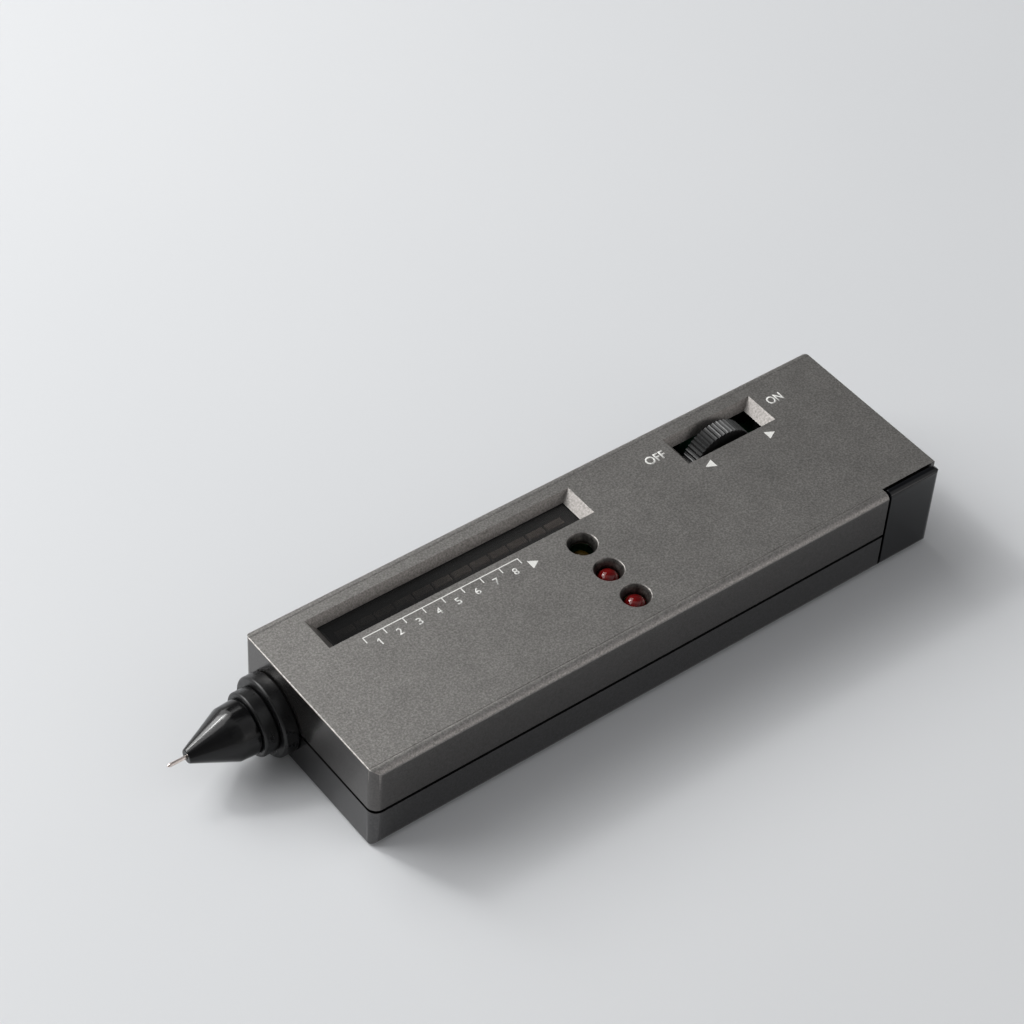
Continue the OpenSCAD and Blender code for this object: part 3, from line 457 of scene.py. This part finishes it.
def lead_skin(name, low, high):
    """Soft sleeve of a lead."""
    p = Paint(name)
    grain = p.noise(0.9, 3, 0.6)
    p.bump(grain, 0.012)
    return p.done(p.tones(p.even(grain), low, high), p.even(grain, 0.32, 0.48))


MATERIALS = {
    # Each shell paint gets three shades, for the top, the slopes and the sides: lit and shaded copies of one
    # paint, painted light.
    "grey_paint": metal_paint(
        "grey_paint", (0.325, 0.315, 0.302), (0.27, 0.256, 0.245), (0.112, 0.107, 0.104)),
    "dark_grey_shell": metal_paint(
        "dark_grey_shell", (0.22, 0.216, 0.211), (0.17, 0.167, 0.163), (0.090, 0.0885, 0.089)),
    "gloss_black": gloss_black(),
    "screw_steel": metal("screw_steel", (0.34, 0.34, 0.35), (0.52, 0.52, 0.53), 0.24, 0.42),
    "touch_plate_steel": metal(
        "touch_plate_steel", (0.50, 0.49, 0.47), (0.62, 0.61, 0.59), 0.22, 0.40,
        stretch=(0.05, 1, 1), grain_mm=0.2),
    "spring_steel": metal("spring_steel", (0.38, 0.37, 0.35), (0.55, 0.54, 0.51), 0.25, 0.4),
    "tinted_window": tinted_window(),
    "black_plastic": plastic(
        "black_plastic", grey(0.010), grey(0.022), 0.4, 0.6, worn_to=grey(0.1)),
    "amber_lens": lens("amber_lens", (0.050, 0.030, 0.004), (0.095, 0.057, 0.008), 0.4),
    "red_lens": lens("red_lens", (0.15, 0.0005, 0.001), (0.30, 0.0012, 0.002), 0.45),
    "bar_lens": bar_lens(),
    "wheel_black": ribbed_black(),
    "white_plastic": plastic("white_plastic", (0.55, 0.53, 0.48), (0.66, 0.64, 0.59)),
    "pot_green": plastic("pot_green", (0.012, 0.10, 0.05), (0.025, 0.16, 0.08)),
    "ring_black": satin_black(
        "ring_black", (0.002, 0.002, 0.0022), (0.006, 0.006, 0.0065), 0.24, 0.38, 0.6, 0.012,
        worn_to=grey(0.15), wear=0.7, shine=0.4),
    "cone_black": satin_black(
        "cone_black", (0.0005, 0.0005, 0.0007), (0.0022, 0.0022, 0.0026), 0.12, 0.22, 1.0, 0.003,
        wear=0.4, shine=0.38),
    "nut_brass": metal(
        "nut_brass", (0.55, 0.36, 0.12), (0.72, 0.50, 0.20), 0.22, 0.38, worn_to=(0.9, 0.75, 0.4)),
    "plug_plastic": plastic("plug_plastic", (0.30, 0.28, 0.24), (0.42, 0.40, 0.35)),
    "tip_copper": metal(
        "tip_copper", (0.60, 0.52, 0.48), (0.80, 0.72, 0.68), 0.18, 0.32,
        stretch=(0.1, 1, 1), grain_mm=0.15, worn_to=(0.85, 0.75, 0.68)),
    "holder_ceramic": plastic("holder_ceramic", (0.60, 0.57, 0.50), (0.72, 0.69, 0.62), 0.45, 0.6),
    "heater_ceramic": plastic("heater_ceramic", (0.45, 0.36, 0.24), (0.58, 0.48, 0.34), 0.5, 0.65),
    "lead_red": lead_skin("lead_red", (0.32, 0.012, 0.010), (0.48, 0.025, 0.02)),
    "lead_black": lead_skin("lead_black", grey(0.010), grey(0.025)),
    "board_green": circuit_green(),
    "chip_black": plastic(
        "chip_black", (0.012, 0.012, 0.013), (0.03, 0.03, 0.031), 0.45, 0.6,
        grain_mm=0.3, worn_to=grey(0.12)),
    "trimmer_blue": plastic("trimmer_blue", (0.01, 0.05, 0.22), (0.02, 0.08, 0.32)),
    "capacitor_blue": plastic("capacitor_blue", (0.008, 0.02, 0.08), (0.016, 0.035, 0.13), 0.25, 0.4),
    "resistor_tan": plastic("resistor_tan", (0.42, 0.30, 0.15), (0.56, 0.42, 0.24)),
    "battery_can": battery_can(),
    "terminal_metal": metal("terminal_metal", (0.45, 0.44, 0.42), (0.62, 0.61, 0.58), 0.2, 0.35),
    "snap_rubber": satin_black("snap_rubber", grey(0.010), grey(0.022), 0.55, 0.75, 0.7, 0.02),
    "foot_rubber": satin_black(
        "foot_rubber", grey(0.012), grey(0.026), 0.65, 0.85, 0.4, 0.03, wear=0.15),
    "pad_foam": foam(),
}
for part in frame["record"]["subparts"]:
    for held in nodes[part["node"]].material_slots:
        held.material = MATERIALS[part["material_slot"]]


# Soft edges on the CAD nodes, with their widths in millimetres
SOFT_EDGES = {
    "upper_shell": 0.10, "lower_shell": 0.10, "battery_cover": 0.28, "probe_collar": 0.55,
    "probe_ring": 0.50, "nose_cone": 0.20, "feet": 0.12,
}
WIDE_EDGE = 0.25
WIDE_SEGMENTS, FINE_SEGMENTS = 4, 2
WELD_WITHIN = 0.001 * MM
FLAT_ANGLE = math.radians(0.3)
SHARP_ANGLE = math.radians(35)
FACE_WEIGHT = 60


def soften(name, width_mm):
    """Rounds the sharp edges of a CAD node with modifiers only."""
    piece = nodes[name]
    weld = piece.modifiers.new("weld", "WELD")
    weld.merge_threshold = WELD_WITHIN
    flat = piece.modifiers.new("flat", "DECIMATE")
    flat.decimate_type = "DISSOLVE"
    flat.angle_limit = FLAT_ANGLE
    bevel = piece.modifiers.new("bevel", "BEVEL")
    bevel.width = width_mm * MM
    bevel.segments = WIDE_SEGMENTS if width_mm > WIDE_EDGE else FINE_SEGMENTS
    bevel.limit_method = "ANGLE"
    bevel.angle_limit = SHARP_ANGLE
    bevel.use_clamp_overlap = True
    bevel.harden_normals = False
    smooth = piece.modifiers.new("normals", "WEIGHTED_NORMAL")
    smooth.keep_sharp = False
    smooth.weight = FACE_WEIGHT


for name, width in SOFT_EDGES.items():
    soften(name, width)


# Making of detail pieces
def add_piece(name, form, material, body="case"):
    """A piece with its faces turned outward, which rides on a body."""
    bmesh.ops.recalc_face_normals(form, faces=form.faces)
    mesh = bpy.data.meshes.new(name)
    form.to_mesh(mesh)
    form.free()
    mesh.materials.append(material)
    piece = bpy.data.objects.new(name, mesh)
    bpy.context.scene.collection.objects.link(piece)
    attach(piece, body)
    return piece


def join_rings(form, rings, closed):
    """Faces between each ring of vertices and the next, and if closed from the last to the first."""
    sides = len(rings[0])
    following = rings[1:] + rings[:1] if closed else rings[1:]
    for a, b in zip(rings, following):
        for k in range(sides):
            form.faces.new((a[k], a[(k + 1) % sides], b[(k + 1) % sides], b[k]))


def bar(x0, x1, y0, y1):
    return [(x0, y0), (x1, y0), (x1, y1), (x0, y1)]


# Printing on the top face. Places and sizes are in millimetres, places from the origin.
INK_T = 0.02 * MM
WELD_INK = 0.0005 * MM
SCALE_FIRST_X = -43.0
SCALE_PITCH = 4.83
SCALE_MARKS = 8
SCALE_LAST_X = SCALE_FIRST_X + SCALE_PITCH * SCALE_MARKS
SCALE_Y = 7.7
LINE_HALF = 0.24 / 2
TICK_L = 1.6
FIGURE_Y = 5.0
FIGURE_H, FIGURE_W = 1.85, 1.18
FIGURE_BOLDER = 0.012
WORD_H = 2.35
WORD_BOLDER = 0.02
OFF_AT, OFF_W = (37.9, 14.65), 5.1
ON_AT, ON_W = (71.2, 14.4), 3.95
# Triangles: x of the base, x of the tip, then y of the low corner, the tip and the high corner
POINTERS = [
    (-3.2, -1.1, 3.55, 4.8, 6.05),
    (47.25, 45.0, 5.25, 6.45, 7.6),
    (62.2, 64.4, 5.25, 6.42, 7.6),
]


def white_ink():
    """White pad printing, slightly uneven."""
    p = Paint("white_ink")
    grain = p.noise(0.25, 4, 0.7)
    colour = p.tones(p.even(grain), (0.70, 0.70, 0.67), (0.90, 0.90, 0.87))
    p.bump(grain, 0.01, 0.4)
    return p.done(colour, p.even(grain, 0.42, 0.6))


INK = white_ink()


def raise_ink(form):
    """Gives flat faces the thickness of the ink."""
    raised = bmesh.ops.extrude_face_region(form, geom=form.faces[:])
    moved = [v for v in raised["geom"] if isinstance(v, bmesh.types.BMVert)]
    bmesh.ops.translate(form, verts=moved, vec=(0, 0, INK_T))


def print_shapes(name, outlines):
    """One printed piece made of closed outlines."""
    form = bmesh.new()
    for outline in outlines:
        form.faces.new([form.verts.new((x * MM, y * MM, TOP_Z)) for x, y in outline])
    raise_ink(form)
    add_piece(name, form, INK)


def text_mesh(name, word, bolder):
    """Flat faces of plain figures or letters, centred on the origin."""
    curve = bpy.data.curves.new(name, "FONT")
    curve.body = word
    curve.align_x = "CENTER"
    curve.align_y = "CENTER"
    curve.size = 1.0
    curve.fill_mode = "BOTH"
    curve.offset = bolder
    text = bpy.data.objects.new(name, curve)
    bpy.context.scene.collection.objects.link(text)
    bpy.context.view_layer.update()
    mesh = bpy.data.meshes.new_from_object(text.evaluated_get(bpy.context.evaluated_depsgraph_get()))
    bpy.data.objects.remove(text, do_unlink=True)
    bpy.data.curves.remove(curve)
    return mesh


def print_word(name, word, at, height, width, bolder):
    """Printed figures or letters, sized to a box and centred on a point."""
    flat = text_mesh(name, word, bolder)
    xs = [v.co.x for v in flat.vertices]
    ys = [v.co.y for v in flat.vertices]
    wide, tall = max(xs) - min(xs), max(ys) - min(ys)
    centre_x, centre_y = (max(xs) + min(xs)) / 2, (max(ys) + min(ys)) / 2
    for v in flat.vertices:
        v.co.x = at[0] * MM + (v.co.x - centre_x) * width * MM / wide
        v.co.y = at[1] * MM + (v.co.y - centre_y) * height * MM / tall
        v.co.z = TOP_Z
    form = bmesh.new()
    form.from_mesh(flat)
    bpy.data.meshes.remove(flat)
    bmesh.ops.remove_doubles(form, verts=form.verts, dist=WELD_INK)
    raise_ink(form)
    add_piece(name, form, INK)


def figure_one(x):
    """A plain 1: an upright stem, with a flag that falls to the left from its top."""
    low, high = FIGURE_Y - FIGURE_H / 2, FIGURE_Y + FIGURE_H / 2
    stem_left, stem_right, flag_left = x - 0.03, x + 0.25, x - 0.45
    return [(stem_right, low), (stem_right, high), (x, high), (flag_left, high - 0.42),
            (flag_left, high - 0.72), (stem_left, high - 0.38), (stem_left, low)]


def print_scale():
    """Long line with ticks that hang from it."""
    shapes = []
    for i in range(SCALE_MARKS + 1):
        x = SCALE_FIRST_X + SCALE_PITCH * i
        shapes.append(bar(x - LINE_HALF, x + LINE_HALF, SCALE_Y - TICK_L, SCALE_Y - LINE_HALF))
    shapes.append(bar(SCALE_FIRST_X - LINE_HALF, SCALE_LAST_X + LINE_HALF,
                      SCALE_Y - LINE_HALF, SCALE_Y + LINE_HALF))
    print_shapes("print_scale", shapes)


def print_figures():
    """Figures 1 to 8, each halfway between two ticks."""
    first_x = SCALE_FIRST_X + SCALE_PITCH / 2
    print_shapes("print_figure_1", [figure_one(first_x)])
    for i in range(1, SCALE_MARKS):
        print_word(f"print_figure_{i + 1}", str(i + 1), (first_x + SCALE_PITCH * i, FIGURE_Y),
                   FIGURE_H, FIGURE_W, FIGURE_BOLDER)


print_scale()
print_figures()
print_shapes("print_pointers", [
    [(base_x, low_y), (tip_x, tip_y), (base_x, high_y)]
    for base_x, tip_x, low_y, tip_y, high_y in POINTERS
])
print_word("print_off", "OFF", OFF_AT, WORD_H, OFF_W, WORD_BOLDER)
print_word("print_on", "ON", ON_AT, WORD_H, ON_W, WORD_BOLDER)


# Black strip on the window, a painted shadow in the gap at the foot of the slopes. Its section: how far in
# from the window's edge and how high over it, in millimetres
SHADOW_STRIP_SECTION = [(1.2, 0.0), (1.2, 0.10), (1.55, 0.10), (1.62, 0.0)]


def window_shadow_strip():
    """Thin black strip on the window along the foot of the slopes, standing in for shade there: a painted
    shadow.
    """
    low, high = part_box("display_window")
    form = bmesh.new()
    rings = []
    for inset_mm, lift_mm in SHADOW_STRIP_SECTION:
        inset = inset_mm * MM
        z = high.z + lift_mm * MM
        corners = bar(low.x + inset, high.x - inset, low.y + inset, high.y - inset)
        rings.append([form.verts.new((x, y, z)) for x, y in corners])
    join_rings(form, rings, closed=True)
    # Its black stands in for the shadow in the gap: painted shade.
    rubber = satin_black(
        "shadow_strip_black", grey(0.0015), grey(0.004), 0.5, 0.65, 0.4, 0.004, wear=0.2, shine=0.2)
    add_piece("window_shadow_strip", form, rubber)


window_shadow_strip()


# Return spring of the tip
SPRING_WIRE_R = 0.25 * MM
SPRING_TURNS = 9
SPRING_STEPS = 24
SPRING_SIDES = 10


def tip_spring():
    """Coil spring in the nose cone, in one fixed length, in the place of the hidden CAD spring; the real one
    shortens toward its rear end as the tip goes in.
    """
    low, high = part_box("probe_spring")
    centre = (low + high) / 2
    whole = high.x - low.x
    radius = (high.y - low.y) / 2 - SPRING_WIRE_R
    length = whole - 2 * SPRING_WIRE_R
    steps = SPRING_TURNS * SPRING_STEPS
    rise = length / (2 * math.pi * SPRING_TURNS)
    angles = [2 * math.pi * k / SPRING_SIDES for k in range(SPRING_SIDES)]
    form = bmesh.new()
    rings = []
    for i in range(steps + 1):
        turn = 2 * math.pi * i / SPRING_STEPS
        outward = Vector((0, math.cos(turn), math.sin(turn)))
        forward = Vector((rise, -radius * math.sin(turn), radius * math.cos(turn))).normalized()
        across = forward.cross(outward)
        core_x = low.x + SPRING_WIRE_R + length * i / steps
        core = Vector((core_x, centre.y, centre.z)) + outward * radius
        rings.append([
            form.verts.new(core + (outward * math.cos(a) + across * math.sin(a)) * SPRING_WIRE_R)
            for a in angles
        ])
    join_rings(form, rings, closed=False)
    for face in form.faces:
        face.smooth = True
    form.faces.new(rings[0])
    form.faces.new(rings[-1])
    piece = add_piece("tip_spring", form, MATERIALS["spring_steel"])
    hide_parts("probe_spring")
    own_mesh(piece)


tip_spring()


# Floor
FLOOR_SIZE = 6.0
FLOOR_CELLS = 8


def floor_paper():
    """Smooth, cool white paper."""
    p = Paint("floor_paper")
    fibre = p.noise(1.5, 4, 0.6)
    colour = p.tones(p.even(p.noise(260, 2, 0.5)), (0.72, 0.735, 0.755), (0.75, 0.762, 0.778))
    p.bump(fibre, 0.02, 0.15)
    return p.done(colour, p.even(fibre, 0.5, 0.62), Specular_IOR_Level=0.3)


bpy.ops.mesh.primitive_grid_add(
    x_subdivisions=FLOOR_CELLS, y_subdivisions=FLOOR_CELLS, size=FLOOR_SIZE, location=(0, 0, 0))
floor = bpy.context.active_object
floor.name = "floor"
floor.data.materials.append(floor_paper())


# Lights: name, direction from the origin, distance, width, height, watts and colour
WHITE = (1.0, 0.998, 0.99)
WARM = (1.0, 0.955, 0.925)
LIGHTS = [
    ("key", (-0.34, 0.64, 0.69), 1.2, 1.4, 0.9, 9.8, WHITE),
    ("key_strip", (-0.28, 0.74, 0.60), 1.19, 0.25, 0.65, 3.0, WHITE),
    ("key_core", (-0.33, 0.66, 0.67), 1.18, 0.13, 0.13, 1.8, WHITE),
    ("left", (-0.744, 0.529, 0.408), 1.18, 0.45, 0.40, 0.9, WHITE),
    ("near_fill", (0.42, -0.87, 0.26), 1.3, 0.6, 0.35, 0.45, WARM),
]


def soft_light(name, direction, distance, width, height, watts, colour):
    """Rectangular light that points at the origin."""
    lamp = bpy.data.lights.new(name, "AREA")
    lamp.shape = "RECTANGLE"
    lamp.size = width
    lamp.size_y = height
    lamp.energy = watts
    lamp.color = colour
    placed = bpy.data.objects.new(name, lamp)
    bpy.context.scene.collection.objects.link(placed)
    aim = Vector(direction).normalized()
    placed.location = aim * distance
    placed.rotation_euler = aim.to_track_quat("Z", "Y").to_euler()


for light in LIGHTS:
    soft_light(*light)


# World. Colours by how far up a direction points, from level to straight up
SKY = [(0.0, (0.68, 0.672, 0.665)), (0.35, (0.66, 0.66, 0.662)), (0.65, (0.58, 0.58, 0.586)),
       (1.0, (0.58, 0.583, 0.59))]
# Darker parts: a direction, how bright it stays, and the angles from it where dimming starts and is full
DARKER = [
    ((-0.46, -0.66, 0.60), 0.50, 48, 26),
    ((0.50, 0.50, 0.70), 0.20, 50, 31),
    ((-0.90, -0.15, 0.25), 0.45, 62, 30),
]


def dimming(tree, way, direction, stays, start, full):
    """1 away from a direction, and less near it."""
    toward = new_node(tree, "ShaderNodeVectorMath", operation="DOT_PRODUCT")
    toward.inputs[1].default_value = Vector(direction).normalized()
    patch = new_node(tree, "ShaderNodeMapRange", interpolation_type="SMOOTHSTEP")
    patch.inputs["From Min"].default_value = math.cos(math.radians(start))
    patch.inputs["From Max"].default_value = math.cos(math.radians(full))
    patch.inputs["To Min"].default_value = 1.0
    patch.inputs["To Max"].default_value = stays
    tree.links.new(way, toward.inputs[0])
    tree.links.new(toward.outputs["Value"], patch.inputs["Value"])
    return patch.outputs["Result"]


def studio():
    """Soft grey surroundings with darker parts."""
    world = bpy.data.worlds.new("studio")
    bpy.context.scene.world = world
    world.use_nodes = True
    tree = world.node_tree
    way = new_node(tree, "ShaderNodeTexCoord").outputs["Generated"]
    split = new_node(tree, "ShaderNodeSeparateXYZ")
    band = new_node(tree, "ShaderNodeValToRGB")
    fill_ramp(band.color_ramp, SKY)
    strength = None
    for darker in DARKER:
        patch = dimming(tree, way, *darker)
        if strength is None:
            strength = patch
        else:
            both = new_node(tree, "ShaderNodeMath", operation="MULTIPLY")
            tree.links.new(strength, both.inputs[0])
            tree.links.new(patch, both.inputs[1])
            strength = both.outputs["Value"]
    sky = tree.nodes["Background"]
    tree.links.new(way, split.inputs["Vector"])
    tree.links.new(split.outputs["Z"], band.inputs["Fac"])
    tree.links.new(band.outputs["Color"], sky.inputs["Color"])
    tree.links.new(strength, sky.inputs["Strength"])


studio()


# Camera. CAMERA_RIGHT is made square to the line of sight before use
CAMERA_AT = Vector((-271.3, -308.6, 450.2)) * MM
CAMERA_LOOK = Vector((0.4537, 0.5421, -0.7073)).normalized()
CAMERA_RIGHT = Vector((0.7953, -0.6044, 0.0469))
SENSOR_MM = 36.0
FOCAL_PX, PHOTO_PX = 2907.7, 1024.0
CLIP_START = 0.01


def photo_camera():
    """The camera of the photograph."""
    look = CAMERA_LOOK
    right = (CAMERA_RIGHT - look * CAMERA_RIGHT.dot(look)).normalized()
    up = right.cross(look)
    camera = bpy.data.objects.new("camera", bpy.data.cameras.new("camera"))
    bpy.context.scene.collection.objects.link(camera)
    camera.matrix_world = Matrix((
        (right.x, up.x, -look.x, CAMERA_AT.x),
        (right.y, up.y, -look.y, CAMERA_AT.y),
        (right.z, up.z, -look.z, CAMERA_AT.z),
        (0, 0, 0, 1),
    ))
    camera.data.sensor_width = SENSOR_MM
    camera.data.lens = SENSOR_MM * FOCAL_PX / PHOTO_PX
    camera.data.clip_start = CLIP_START
    bpy.context.scene.camera = camera


photo_camera()

bpy.context.scene.view_settings.view_transform = "Standard"
bpy.context.scene.view_settings.look = "None"
